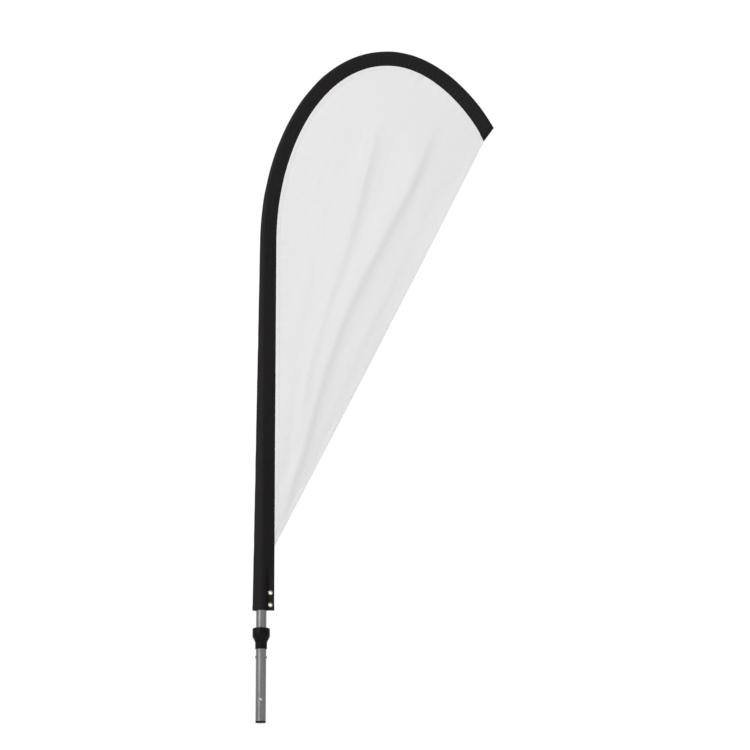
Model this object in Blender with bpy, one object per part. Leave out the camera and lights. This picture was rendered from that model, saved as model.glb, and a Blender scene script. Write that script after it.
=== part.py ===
"""Teardrop flag on a swivelling roof pole, built as separate named pieces.

Metres, +Z up. The origin is the centre of the flat end face of the lower tube's plug.
The pole's straight run stands on +Z, and the flag flies towards +X in the XZ plane.
Two bodies turn on each other: the mount, from the end plug to the dust seal, and the
pole with its flag, which turns about +Z on the swivel bolt.
"""
import math

import bmesh
import bpy
from mathutils import Matrix, Vector

GAP = 0.0003            # between pieces that touch

# Mount
TUBE_R = 0.014          # outer radius of the mount tube and the base tube
TUBE_BORE_R = 0.0125
TUBE_FIT_R = TUBE_BORE_R - GAP
PLUG_FLANGE_H = 0.003
PLUG_TOP_Z = 0.023
MOUNT_TOP_Z = 0.198     # the mount tube ends at the swivel body's collar
BUTTON_Z = 0.060
BUTTON_R = 0.004
BUTTON_PROUD = 0.006    # the button stands this far out of the tube
BUTTON_FLANGE_R = 0.0052
BUTTON_SEAT = 0.010     # the flange's inner face, against the spring, from the tube's axis
BUTTON_FLANGE_H = 0.001
BUTTON_PLAY = 0.0004
SPRING_THICK = 0.0006
SPRING_WIDTH = 0.008
SPRING_BEND_R = 0.0035
SPRING_NEAR_Y = -0.0094     # the leg behind the button
SPRING_FAR_Y = 0.0110       # the leg against the far wall
RIVET_Z = 0.176
RIVET_R = 0.0020
RIVET_HOLE_R = 0.0023
RIVET_HEAD_R = 0.0040
RIVET_END = 0.0088      # the rivet's inner end, from the tube's axis
RIVET_POCKET = 0.0084   # the bottom of its hole in the swivel body
WALL_CUT = (0.008, 0.018)   # reach of a cutter through one side of a tube

# Swivel
NECK_R = 0.016
HEAD_R = 0.0235
NECK_TOP_Z = 0.218
CONE_TOP_Z = 0.230
HEAD_TOP_Z = 0.254
CUP_R = 0.017
CUP_FLOOR_Z = 0.232
SWIVEL_PLUG_Z = 0.150   # lower end of the swivel body's plug in the mount tube
BUSH_SEAT_R = 0.0075
BUSH_BORE_R = 0.0053
BUSH_LENGTH = 0.020
BUSH_FLANGE_H = 0.002
LOWER_BUSH_FLANGE_R = 0.010
UPPER_BUSH_FLANGE_R = 0.012
SEAL_H = 0.0055
SEAL_RECESS = 0.0025    # the seal lies this far below the cup's rim
BOLT_R = 0.005
BOLT_END_Z = 0.1335
BOLT_HEAD_H = 0.0064
NUT_ACROSS_FLATS = 0.016
NUT_H = 0.009
WASHER_R = 0.010
WASHER_H = 0.0015
THRUST_WASHER_R = 0.0115

# Pole
FOOT_FLANGE_Z = 0.236   # underside of the pole foot, just above the thrust washer
FOOT_FLANGE_H = 0.003
FOOT_TOP_Z = 0.276
BASE_TUBE_TOP_Z = 0.700
MIDDLE_TUBE_Z = 0.620
MIDDLE_TUBE_R = 0.009
MIDDLE_BORE_R = 0.0073
BEND_Z = 1.325          # the pole's line starts to bend here
MIDDLE_TUBE_TOP_Z = 1.330
FERRULE_COLLAR_H = 0.008
FERRULE_INSERT = 0.055
TIP_ROD_Z = 1.265
TIP_ROD_R = 0.0055
TIP_END_R = 0.0030
TIP_CAP_R = 0.0042
TIP_CAP_LENGTH = 0.014

# The bend, as two curves that meet level at the apex
APEX = Vector((0.341, 0.0, 1.865))
RISE_HANDLE = 0.274     # reach of the first curve's lower handle, straight up
APEX_HANDLE_IN = 0.209
APEX_HANDLE_OUT = 0.148
TIP = Vector((0.619, 0.0, 1.664))
TIP_ANGLE = math.radians(28.0)      # of the tip from straight down
TIP_HANDLE = 0.050

# Sleeve: reach from the pole's line to its outer and its inner edge
SLEEVE_Z = 0.302
SLEEVE_WALL = 0.001
SLEEVE_OUT_LOW = 0.0238
SLEEVE_OUT_BEND = 0.0106
SLEEVE_OUT_TIP = 0.0078
SLEEVE_IN = 0.0344
SLEEVE_IN_TIP = 0.0340
SETTLE_LENGTH = 0.350   # the reach settles to its tip value over this much of the bend
EDGE_R = 0.0015         # the sleeve's two edges are rounded this much
POCKET_PAST_TIP = 0.004     # the hollow ends this far past the rod's tip
END_OUT = 0.0156        # the sleeve runs on past the rod's tip, further at its inner edge
END_SLANT = 0.488
SLANT_LENGTH = 0.090
WEB_HALF = 0.001        # the flat web at the lower right corner is two layers sewn together
WEB_TOP_Z = 0.374
WEB_BLEND_Z = 0.450

# Eyelets
EYELET_X = 0.0238
EYELET_ZS = {"upper": 0.350, "lower": 0.317}
EYELET_HOLE_R = 0.0038
EYELET_BARREL_R = 0.0043
EYELET_FLANGE_R = 0.0068

# Flag
PANEL_HALF = 0.0006
PANEL_CORNER_Z = 0.474  # where the trailing edge meets the sleeve
TRAILING_BOW = 0.0025


# ---------------------------------------------------------------- helpers

def clear_scene():
    """Remove what the scene holds."""
    for thing in list(bpy.data.objects):
        bpy.data.objects.remove(thing, do_unlink=True)


def material(name, colour, roughness, metallic=0.0):
    """A plain Principled material."""
    made = bpy.data.materials.new(name)
    made.use_nodes = True
    shader = made.node_tree.nodes["Principled BSDF"]
    shader.inputs["Base Color"].default_value = (*colour, 1.0)
    shader.inputs["Roughness"].default_value = roughness
    shader.inputs["Metallic"].default_value = metallic
    made.diffuse_color = (*colour, 1.0)
    return made


def add_object(name, mesh_builder, finish, parent=None, place=None, round_piece=True):
    """Turn a bmesh into a named object with its material, shaded smooth if it is round."""
    bmesh.ops.recalc_face_normals(mesh_builder, faces=mesh_builder.faces)
    mesh = bpy.data.meshes.new(name)
    mesh_builder.to_mesh(mesh)
    mesh_builder.free()
    if round_piece:
        mesh.shade_smooth()
        mesh.set_sharp_from_angle(angle=math.radians(35.0))
    made = bpy.data.objects.new(name, mesh)
    bpy.context.collection.objects.link(made)
    if finish:
        mesh.materials.append(finish)
    made.parent = parent
    if place:
        made.matrix_local = place
    return made


def turned(profile, segments=24):
    """Spin a closed profile of (radius, height) points about Z into a solid, ring or cup."""
    built = bmesh.new()
    points = [built.verts.new((radius, 0.0, height)) for radius, height in profile]
    edges = []
    for first, second in zip(points, points[1:] + points[:1]):
        on_axis = first.co.x == 0.0 and second.co.x == 0.0
        if not on_axis:
            edges.append(built.edges.new((first, second)))
    bmesh.ops.spin(
        built,
        geom=points + edges,
        cent=(0.0, 0.0, 0.0),
        axis=(0.0, 0.0, 1.0),
        angle=math.tau,
        steps=segments,
        use_merge=True,
    )
    bmesh.ops.remove_doubles(built, verts=built.verts, dist=1e-6)
    return built


def corner_arc(centre, radius, start, end, steps=3):
    """Points of a rounded corner in a profile; angles in degrees from +radius to +height."""
    angles = [math.radians(start + (end - start) * step / steps) for step in range(steps + 1)]
    return [
        (centre[0] + radius * math.cos(angle), centre[1] + radius * math.sin(angle))
        for angle in angles
    ]


def tube_profile(inner, outer, low, high):
    """Profile of a plain ring."""
    return [(inner, low), (outer, low), (outer, high), (inner, high)]


def loft(outer_rings, inner_rings=None):
    """Skin closed rings of points; with inner rings the piece is hollow and open at its start."""
    built = bmesh.new()

    def skin(rings):
        rows = [[built.verts.new(point) for point in ring] for ring in rings]
        for low, high in zip(rows, rows[1:]):
            for here in range(len(low)):
                there = (here + 1) % len(low)
                built.faces.new((low[here], low[there], high[there], high[here]))
        built.faces.new(rows[-1])
        return rows[0]

    first = skin(outer_rings)
    if inner_rings is None:
        built.faces.new(first)
        return built
    mouth = skin(inner_rings)
    for here in range(len(first)):
        there = (here + 1) % len(first)
        built.faces.new((first[here], first[there], mouth[there], mouth[here]))
    return built


def along(direction, at=(0.0, 0.0, 0.0)):
    """A matrix that stands a Z-turned piece along a direction at a point."""
    turn = Vector((0.0, 0.0, 1.0)).rotation_difference(Vector(direction))
    return Matrix.Translation(at) @ turn.to_matrix().to_4x4()


def cut_hole(target, name, radius, low, high, place, segments=16):
    """Cut a round hole with a hidden cylinder."""
    profile = [(0.0, high), (radius, high), (radius, low), (0.0, low)]
    cutter = add_object(name, turned(profile, segments), None, target.parent, place)
    cutter.hide_render = True
    cutter.display_type = "WIRE"
    cut = target.modifiers.new(name, "BOOLEAN")
    cut.operation = "DIFFERENCE"
    cut.solver = "EXACT"
    cut.object = cutter


def smooth_step(value):
    """Ease from 0 to 1."""
    value = min(max(value, 0.0), 1.0)
    return value * value * (3.0 - 2.0 * value)


def between(start, end, share):
    """Straight mix of two numbers."""
    return start + (end - start) * share


# ---------------------------------------------------------------- the pole's line

def bezier(points, share):
    """Point on a cubic Bezier curve."""
    rest = 1.0 - share
    return (
        points[0] * rest ** 3
        + points[1] * 3.0 * rest ** 2 * share
        + points[2] * 3.0 * rest * share ** 2
        + points[3] * share ** 3
    )


def bend_points(count=240):
    """Closely spaced points of the whole bend."""
    start = Vector((0.0, 0.0, BEND_Z))
    down = Vector((math.sin(TIP_ANGLE), 0.0, -math.cos(TIP_ANGLE)))
    rise = (
        start,
        start + Vector((0.0, 0.0, RISE_HANDLE)),
        APEX - Vector((APEX_HANDLE_IN, 0.0, 0.0)),
        APEX,
    )
    fall = (
        APEX,
        APEX + Vector((APEX_HANDLE_OUT, 0.0, 0.0)),
        TIP - down * TIP_HANDLE,
        TIP,
    )
    first = [bezier(rise, step / count) for step in range(count)]
    return first + [bezier(fall, step / count) for step in range(count + 1)]


BEND = bend_points()
LENGTHS = [0.0]
for before, after in zip(BEND, BEND[1:]):
    LENGTHS.append(LENGTHS[-1] + (after - before).length)
BEND_LENGTH = LENGTHS[-1]


def pole_line(distance):
    """Point and direction of the pole's line, by distance past the start of the bend."""
    if distance <= 0.0:
        return Vector((0.0, 0.0, BEND_Z + distance)), Vector((0.0, 0.0, 1.0))
    if distance >= BEND_LENGTH:
        direction = (BEND[-1] - BEND[-2]).normalized()
        return BEND[-1] + direction * (distance - BEND_LENGTH), direction
    spot = next(index for index, length in enumerate(LENGTHS) if length > distance)
    share = (distance - LENGTHS[spot - 1]) / (LENGTHS[spot] - LENGTHS[spot - 1])
    point = BEND[spot - 1].lerp(BEND[spot], share)
    ahead = min(spot + 1, len(BEND) - 1)
    behind = max(spot - 2, 0)
    return point, (BEND[ahead] - BEND[behind]).normalized()


def inward(direction):
    """Unit vector from the pole's line towards the flag."""
    return Vector((direction.z, 0.0, -direction.x))


# ---------------------------------------------------------------- mount

def make_end_plug(parent, finish):
    """Hollow plug in the mount tube's lower end."""
    profile = [
        (0.0, 0.0),
        *corner_arc((TUBE_R - 0.0008, 0.0008), 0.0008, -90.0, 0.0, 2),
        (TUBE_R, PLUG_FLANGE_H),
        (TUBE_FIT_R, PLUG_FLANGE_H),
        (TUBE_FIT_R, PLUG_TOP_Z - 0.001),
        (TUBE_FIT_R - 0.001, PLUG_TOP_Z),
        (TUBE_FIT_R - 0.002, PLUG_TOP_Z),
        (TUBE_FIT_R - 0.002, PLUG_FLANGE_H),
        (0.0, PLUG_FLANGE_H),
    ]
    add_object("tube_end_plug", turned(profile), finish, parent)


def make_mount_tube(parent, finish):
    """Tube with a hole for the snap button and one for each rivet."""
    low = PLUG_FLANGE_H + GAP
    high = MOUNT_TOP_Z - GAP
    tube = add_object(
        "mount_tube", turned(tube_profile(TUBE_BORE_R, TUBE_R, low, high)), finish, parent
    )
    hole_at = along((0.0, -1.0, 0.0), (0.0, 0.0, BUTTON_Z))
    cut_hole(tube, "button_hole_cutter", BUTTON_R + BUTTON_PLAY, *WALL_CUT, hole_at)
    for side, sign in (("left", -1.0), ("right", 1.0)):
        rivet_at = along((sign, 0.0, 0.0), (0.0, 0.0, RIVET_Z))
        cut_hole(tube, f"tube_rivet_{side}_cutter", RIVET_HOLE_R, *WALL_CUT, rivet_at, 12)


def make_snap_button(parent, finish):
    """The button's own axis points out of the tube; its flange stays inside the bore."""
    tip = TUBE_R + BUTTON_PROUD
    flange_top = BUTTON_SEAT + BUTTON_FLANGE_H
    profile = [
        (0.0, BUTTON_SEAT),
        (BUTTON_FLANGE_R, BUTTON_SEAT),
        (BUTTON_FLANGE_R, flange_top),
        (BUTTON_R, flange_top),
        *corner_arc((BUTTON_R - 0.002, tip - 0.002), 0.002, 0.0, 90.0, 4),
        (0.0, tip),
    ]
    # The button's empty stands on the slide's axis, so only the turn is needed here.
    add_object("snap_button", turned(profile, 20), finish, parent, along((0.0, -1.0, 0.0)))


def make_snap_spring(parent, finish):
    """A V of flat spring strip: one leg behind the button, one against the far wall."""
    low_z = BUTTON_Z - 0.012
    knee_z = BUTTON_Z + 0.010
    top_z = BUTTON_Z + 0.042
    line = [(SPRING_NEAR_Y, low_z), (SPRING_NEAR_Y, knee_z)]
    for step in range(7):
        angle = math.pi * (1.0 - step / 6.0)
        bend = Vector((math.cos(angle), math.sin(angle))) * SPRING_BEND_R
        line.append((bend.x, top_z + bend.y))
    line += [(SPRING_FAR_Y, knee_z), (SPRING_FAR_Y, low_z)]
    edge = SPRING_WIDTH / 2.0
    rings = []
    for index, (across, height) in enumerate(line):
        back = line[max(index - 1, 0)]
        ahead = line[min(index + 1, len(line) - 1)]
        run = Vector((ahead[0] - back[0], ahead[1] - back[1])).normalized()
        side = Vector((run.y, -run.x)) * SPRING_THICK / 2.0
        rings.append([
            (-edge, across + side.x, height + side.y),
            (edge, across + side.x, height + side.y),
            (edge, across - side.x, height - side.y),
            (-edge, across - side.x, height - side.y),
        ])
    add_object("snap_spring", loft(rings), finish, parent)


def make_rivets(parent, finish):
    """Blind rivets with domed heads, one on each side."""
    head_low = TUBE_R + GAP
    profile = [
        (0.0, RIVET_END),
        (RIVET_R, RIVET_END),
        (RIVET_R, head_low),
        (RIVET_HEAD_R, head_low),
        (RIVET_HEAD_R - 0.0004, head_low + 0.0008),
        (0.0022, head_low + 0.0014),
        (0.0, head_low + 0.0016),
    ]
    for side, sign in (("left", -1.0), ("right", 1.0)):
        spot = along((sign, 0.0, 0.0), (0.0, 0.0, RIVET_Z))
        add_object(f"rivet_{side}", turned(profile, 16), finish, parent, spot)


def make_swivel_body(parent, finish):
    """Plug, collar, cone and cup in one moulding, bored for the two bushes."""
    profile = [
        (BUSH_SEAT_R, SWIVEL_PLUG_Z),
        (TUBE_FIT_R - 0.001, SWIVEL_PLUG_Z),
        (TUBE_FIT_R, SWIVEL_PLUG_Z + 0.001),
        (TUBE_FIT_R, MOUNT_TOP_Z),
        *corner_arc((NECK_R - 0.0012, MOUNT_TOP_Z + 0.0012), 0.0012, -90.0, 0.0, 2),
        (NECK_R, NECK_TOP_Z - 0.002),
        (NECK_R + 0.0004, NECK_TOP_Z),
        (HEAD_R - 0.0008, CONE_TOP_Z - 0.0008),
        (HEAD_R, CONE_TOP_Z + 0.0008),
        *corner_arc((HEAD_R - 0.003, HEAD_TOP_Z - 0.003), 0.003, 0.0, 90.0, 4),
        (CUP_R + 0.0008, HEAD_TOP_Z),
        (CUP_R, HEAD_TOP_Z - 0.0008),
        (CUP_R, CUP_FLOOR_Z),
        (BUSH_SEAT_R, CUP_FLOOR_Z),
    ]
    body = add_object("swivel_body", turned(profile, 32), finish, parent)
    for side, sign in (("left", -1.0), ("right", 1.0)):
        spot = along((sign, 0.0, 0.0), (0.0, 0.0, RIVET_Z))
        name = f"body_rivet_{side}_cutter"
        cut_hole(body, name, RIVET_HOLE_R, RIVET_POCKET, TUBE_R, spot, 12)


def make_bushes(parent, finish):
    """Two flanged bushes; the lower one hangs under the plug and the upper one sits in the cup."""
    sleeve_r = BUSH_SEAT_R - GAP
    for name, face, away, flange_r in (
        ("lower_bush", SWIVEL_PLUG_Z - GAP, 1.0, LOWER_BUSH_FLANGE_R),
        ("upper_bush", CUP_FLOOR_Z + GAP, -1.0, UPPER_BUSH_FLANGE_R),
    ):
        profile = [
            (BUSH_BORE_R, face - away * BUSH_FLANGE_H),
            (flange_r, face - away * BUSH_FLANGE_H),
            (flange_r, face),
            (sleeve_r, face),
            (sleeve_r, face + away * BUSH_LENGTH),
            (BUSH_BORE_R, face + away * BUSH_LENGTH),
        ]
        add_object(name, turned(profile, 24), finish, parent)


def make_dust_seal(parent, finish):
    """A ring in the cup's mouth with a thin lip towards the pole."""
    high = HEAD_TOP_Z - SEAL_RECESS
    low = high - SEAL_H
    profile = [
        (TUBE_R + 0.0012, low),
        (CUP_R - GAP, low),
        (CUP_R - GAP, high),
        (TUBE_R + 0.0012, high),
        (TUBE_R + 0.0005, high - 0.0008),
        (TUBE_R + 0.0012, high - 0.0020),
    ]
    add_object("dust_seal", turned(profile, 32), finish, parent)


# ---------------------------------------------------------------- swivel shaft and pole

def hexagon_corner(across_flats):
    """Corner radius of a hexagon from its size across the flats."""
    return across_flats / 2.0 / math.cos(math.radians(30.0))


def make_swivel_bolt(parent, finish):
    """Hexagon-headed bolt, head up in the pole foot and thread down below the swivel body."""
    corner = hexagon_corner(NUT_ACROSS_FLATS)
    head_low = FOOT_TOP_Z + GAP
    head_high = head_low + BOLT_HEAD_H
    shank = turned(
        [(0.0, BOLT_END_Z), (BOLT_R - 0.001, BOLT_END_Z), (BOLT_R, BOLT_END_Z + 0.001),
         (BOLT_R, head_low + 0.001), (0.0, head_low + 0.001)],
        24,
    )
    bolt = add_object("swivel_bolt", shank, finish, parent)
    head = turned(
        [(0.0, head_low), (corner, head_low), (corner, head_high - 0.001),
         (corner - 0.001, head_high), (0.0, head_high)],
        6,
    )
    head_guide = add_object("bolt_head_guide", head, None, parent, round_piece=False)
    head_guide.hide_render = True
    head_guide.display_type = "WIRE"
    join = bolt.modifiers.new("head", "BOOLEAN")
    join.operation = "UNION"
    join.solver = "EXACT"
    join.object = head_guide


def make_washers(parent, finish):
    """The thrust washer under the pole foot, and the washer between lower bush and nut."""
    thrust_high = FOOT_FLANGE_Z - GAP
    thrust_low = CUP_FLOOR_Z + GAP + BUSH_FLANGE_H + GAP
    add_object(
        "thrust_washer",
        turned(tube_profile(BUSH_BORE_R, THRUST_WASHER_R, thrust_low, thrust_high)),
        finish,
        parent,
    )
    washer_high = SWIVEL_PLUG_Z - GAP - BUSH_FLANGE_H - GAP
    add_object(
        "bolt_washer",
        turned(tube_profile(BUSH_BORE_R, WASHER_R, washer_high - WASHER_H, washer_high)),
        finish,
        parent,
    )


def make_lock_nut(parent, finish):
    """Hexagon nut with a rounded collar that holds its locking ring."""
    high = SWIVEL_PLUG_Z - BUSH_FLANGE_H - WASHER_H - 3.0 * GAP
    low = high - NUT_H
    corner = hexagon_corner(NUT_ACROSS_FLATS)
    outer = turned(
        [(0.0, low), (corner - 0.002, low), (corner - 0.0012, low + 0.0018),
         (corner, low + 0.0024), (corner, high), (0.0, high)],
        6,
    )
    nut = add_object("lock_nut", outer, finish, parent, round_piece=False)
    cut_hole(nut, "nut_bore_cutter", BUSH_BORE_R, low - 0.001, high + 0.001, Matrix(), 24)


def make_pole_foot(parent, finish):
    """Plug in the base tube's lower end, with a flange that the tube stands on."""
    profile = [
        (BUSH_BORE_R, FOOT_FLANGE_Z),
        (TUBE_R - 0.0006, FOOT_FLANGE_Z),
        (TUBE_R, FOOT_FLANGE_Z + 0.0006),
        (TUBE_R, FOOT_FLANGE_Z + FOOT_FLANGE_H),
        (TUBE_FIT_R, FOOT_FLANGE_Z + FOOT_FLANGE_H),
        (TUBE_FIT_R, FOOT_TOP_Z - 0.001),
        (TUBE_FIT_R - 0.001, FOOT_TOP_Z),
        (BUSH_BORE_R, FOOT_TOP_Z),
    ]
    add_object("pole_foot", turned(profile), finish, parent)


def make_straight_pole(parent, tube_finish, rod_finish, plastic):
    """Base tube, its reducer, the middle tube and the reducer at its top."""
    low = FOOT_FLANGE_Z + FOOT_FLANGE_H + GAP
    base = tube_profile(TUBE_BORE_R, TUBE_R, low, BASE_TUBE_TOP_Z)
    add_object("base_tube", turned(base), tube_finish, parent)
    middle = tube_profile(MIDDLE_BORE_R, MIDDLE_TUBE_R, MIDDLE_TUBE_Z, MIDDLE_TUBE_TOP_Z)
    add_object("middle_tube", turned(middle), rod_finish, parent)
    reducers = (
        ("lower_ferrule", MIDDLE_TUBE_R + GAP, TUBE_FIT_R, TUBE_R, BASE_TUBE_TOP_Z),
        ("upper_ferrule", TIP_ROD_R + GAP, MIDDLE_BORE_R - GAP, MIDDLE_TUBE_R, MIDDLE_TUBE_TOP_Z),
    )
    for name, bore, insert, collar, seat in reducers:
        top = seat + GAP + FERRULE_COLLAR_H
        profile = [
            (bore, seat - FERRULE_INSERT),
            (insert, seat - FERRULE_INSERT),
            (insert, seat + GAP),
            (collar, seat + GAP),
            (collar, top - 0.002),
            (between(bore, collar, 0.5), top),
            (bore, top),
        ]
        add_object(name, turned(profile), plastic, parent)


def make_tip_rod(parent, finish, plastic):
    """The tapered rod that the sleeve bends into the top of the drop, and its end cap."""
    stations = [TIP_ROD_Z - BEND_Z] + bend_stations()
    rings = []
    for distance in stations:
        point, direction = pole_line(distance)
        radius = between(TIP_ROD_R, TIP_END_R, max(distance, 0.0) / BEND_LENGTH)
        rings.append(round_ring(point, direction, radius, 12))
    add_object("tip_rod", loft(rings), finish, parent)
    tip = pole_line(BEND_LENGTH)[0]
    direction = (tip - pole_line(BEND_LENGTH - TIP_CAP_LENGTH)[0]).normalized()
    bore = TIP_END_R + GAP + 0.0001
    inside = TIP_CAP_LENGTH - 0.0004
    profile = [
        (bore, 0.0),
        (TIP_CAP_R, 0.0),
        (TIP_CAP_R, TIP_CAP_LENGTH - 0.0005),
        (TIP_CAP_R - 0.0010, TIP_CAP_LENGTH + 0.0012),
        (TIP_CAP_R - 0.0026, TIP_CAP_LENGTH + 0.0020),
        (0.0, TIP_CAP_LENGTH + 0.0022),
        (0.0, inside + GAP * 2.5),
        (bore, inside + GAP * 2.5),
    ]
    place = along(direction, tip - direction * inside)
    add_object("tip_cap", turned(profile, 16), plastic, parent, place)


def round_ring(point, direction, radius, sides):
    """A circle of points across the pole's line."""
    right = inward(direction)
    depth = Vector((0.0, 1.0, 0.0))
    ring = []
    for side in range(sides):
        angle = math.tau * side / sides
        ring.append(point + (right * math.cos(angle) + depth * math.sin(angle)) * radius)
    return ring


# ---------------------------------------------------------------- sleeve and flag

def outer_reach(distance):
    """How far the sleeve's outer edge is from the pole's line."""
    if distance < 0.0:
        share = -distance / (BEND_Z - SLEEVE_Z)
        return between(SLEEVE_OUT_BEND, SLEEVE_OUT_LOW, share)
    return between(SLEEVE_OUT_BEND, SLEEVE_OUT_TIP, min(distance / SETTLE_LENGTH, 1.0))


def inner_reach(distance):
    """How far the sleeve's inner edge is from the pole's line."""
    return between(SLEEVE_IN, SLEEVE_IN_TIP, min(max(distance, 0.0) / SETTLE_LENGTH, 1.0))


def pole_room(distance):
    """Radius that the sleeve keeps free around the pole, stepped down where the pole thins."""
    steps = (
        (BASE_TUBE_TOP_Z + 0.012 - BEND_Z, 0.0149),
        (BASE_TUBE_TOP_Z + 0.090 - BEND_Z, 0.0098),
        (0.016, 0.0098),
        (0.080, 0.0064),
        (BEND_LENGTH - 0.020, 0.0050),
        (BEND_LENGTH + POCKET_PAST_TIP, 0.0050),
        (BEND_LENGTH + 0.020, 0.0004),
    )
    if distance <= steps[0][0]:
        return steps[0][1]
    for (near, near_room), (far, far_room) in zip(steps, steps[1:]):
        if distance <= far:
            return between(near_room, far_room, (distance - near) / (far - near))
    return steps[-1][1]


def web_share(distance):
    """1 where the sleeve's inner side is pressed flat into a web, 0 where it isn't."""
    height = BEND_Z + distance
    return 1.0 - smooth_step((height - WEB_TOP_Z) / (WEB_BLEND_Z - WEB_TOP_Z))


def half_depth(across, room, left, right, edge):
    """Half thickness of a skin drawn tight over the pole and the two rounded edges."""
    depths = []
    for step in range(1, 60):
        angle = math.pi * step / 60.0
        outer_edge = edge - (left - edge) * math.cos(angle)
        inner_edge = edge + (right - edge) * math.cos(angle)
        reach = max(room, outer_edge, inner_edge)
        depths.append((reach - across * math.cos(angle)) / math.sin(angle))
    return max(min(depths), 0.0)


def section(distance, wall):
    """One closed ring of (across, depth) points of the sleeve, drawn in by a wall thickness."""
    web = web_share(distance)
    room = pole_room(distance) + SLEEVE_WALL - wall
    left = max(outer_reach(distance) - wall, room)
    right = inner_reach(distance) - wall
    if wall > 0.0:
        right = between(right, room + 0.0006, web)
    edge = EDGE_R - wall if left > room + 0.0002 else room
    edge_right = min(EDGE_R - wall, (right - room) * 0.5) if right > room else 0.0
    web_start = room + between(0.3 * (right - room), min(0.0008, 0.4 * (right - room)), web)
    spots = [-0.85 * left, -0.55 * left, -0.27 * left, 0.0, 0.5 * room, 0.85 * room]
    spots += [web_start, right - max(edge_right, 0.2 * (right - web_start))]
    upper = []
    for across in spots:
        loose = half_depth(across, room, left, right, min(edge, left))
        if across <= 0.0:
            upper.append((across, loose))
            continue
        snug = math.sqrt(max(room ** 2 - across ** 2, 0.0))
        flat = max(WEB_HALF - wall, 0.0003)
        upper.append((across, between(loose, max(snug, flat), web)))
    lower = [(across, -depth) for across, depth in reversed(upper)]
    return [(-left, 0.0)] + upper + [(right, 0.0)] + lower


def sleeve_rings(stations, wall):
    """Place a section at each distance along the pole's line."""
    rings = []
    for distance in stations:
        point, direction = pole_line(distance)
        right = inward(direction)
        lean = smooth_step((distance - BEND_LENGTH + SLANT_LENGTH) / SLANT_LENGTH)
        ring = []
        for across, depth in section(distance, wall):
            slide = lean * (END_SLANT * across)
            ring.append(point + right * across + direction * slide + Vector((0.0, depth, 0.0)))
        rings.append(ring)
    return rings


def sleeve_stations():
    """Distances of the sleeve's sections, closer together where the pole bends."""
    heights = [SLEEVE_Z, 0.333, WEB_TOP_Z, 0.395, 0.412, 0.430, WEB_BLEND_Z, 0.580]
    heights += [0.712, 0.751, 0.790, 0.960, 1.140]
    straight = [height - BEND_Z for height in heights]
    return straight + bend_stations() + [BEND_LENGTH + POCKET_PAST_TIP]


def bend_stations():
    """Distances that the rod, the sleeve and the flag share, so that they bend alike."""
    near = [0.0, 0.016, 0.048, 0.080]
    count = 25
    cap_start = BEND_LENGTH - TIP_CAP_LENGTH
    steps = [between(near[-1], cap_start, step / count) for step in range(1, count + 1)]
    return near + steps + [BEND_LENGTH]


def make_sleeve(parent, finish):
    """Fabric tube over the pole: open at the bottom, sewn shut at its slanted tip."""
    stations = sleeve_stations()
    middle_end = BEND_LENGTH + END_OUT + END_SLANT * SLEEVE_OUT_TIP
    outer = sleeve_rings(stations + [between(stations[-1], middle_end, 0.5), middle_end], 0.0)
    inner = sleeve_rings(stations, SLEEVE_WALL)
    sleeve = add_object("pole_sleeve", loft(outer, inner), finish, parent)
    for level, height in EYELET_ZS.items():
        spot = along((0.0, -1.0, 0.0), (EYELET_X, 0.0, height))
        name = f"sleeve_eyelet_{level}_cutter"
        cut_hole(sleeve, name, EYELET_BARREL_R + GAP, -0.006, 0.006, spot, 20)


def make_eyelets(parent, finish):
    """Each eyelet is a flanged barrel through the web and a backing washer behind it."""
    face = WEB_HALF + GAP
    eyelet = [
        (EYELET_HOLE_R, -face - 0.0014),
        (EYELET_BARREL_R, -face - 0.0014),
        (EYELET_BARREL_R, face),
        (EYELET_FLANGE_R - 0.0004, face),
        (EYELET_FLANGE_R, face + 0.0004),
        (EYELET_FLANGE_R - 0.0009, face + 0.0011),
        (EYELET_BARREL_R + 0.0009, face + 0.0013),
        (EYELET_HOLE_R, face + 0.0004),
    ]
    washer = [
        (EYELET_BARREL_R + GAP, -face - 0.0010),
        (EYELET_FLANGE_R - 0.0004, -face - 0.0008),
        (EYELET_FLANGE_R, -face - 0.0004),
        (EYELET_FLANGE_R - 0.0002, -face),
        (EYELET_BARREL_R + GAP, -face),
    ]
    for level, height in EYELET_ZS.items():
        spot = along((0.0, -1.0, 0.0), (EYELET_X, 0.0, height))
        add_object(f"eyelet_{level}", turned(eyelet, 24), finish, parent, spot)
        add_object(f"eyelet_washer_{level}", turned(washer, 24), finish, parent, spot)


def panel_outline():
    """The flag's outline: up beside the sleeve, round under the bend, back down the hem."""
    lean_end = BEND_LENGTH + END_OUT + END_SLANT * SLEEVE_OUT_TIP
    side = SLEEVE_IN + GAP
    outline = [Vector((side, 0.0, PANEL_CORNER_Z)), Vector((side, 0.0, 0.900))]
    stations = bend_stations() + [BEND_LENGTH + POCKET_PAST_TIP, lean_end]
    for distance in stations:
        point, direction = pole_line(distance)
        reach = inner_reach(distance) + GAP
        lean = smooth_step((distance - BEND_LENGTH + SLANT_LENGTH) / SLANT_LENGTH)
        outline.append(point + inward(direction) * reach + direction * lean * END_SLANT * reach)
    top = outline[-1]
    bottom = outline[0]
    run = bottom - top
    bulge = Vector((-run.z, 0.0, run.x)).normalized() * TRAILING_BOW
    for step in range(1, 6):
        share = step / 6.0
        outline.append(top + run * share + bulge * 4.0 * share * (1.0 - share))
    return outline


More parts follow.
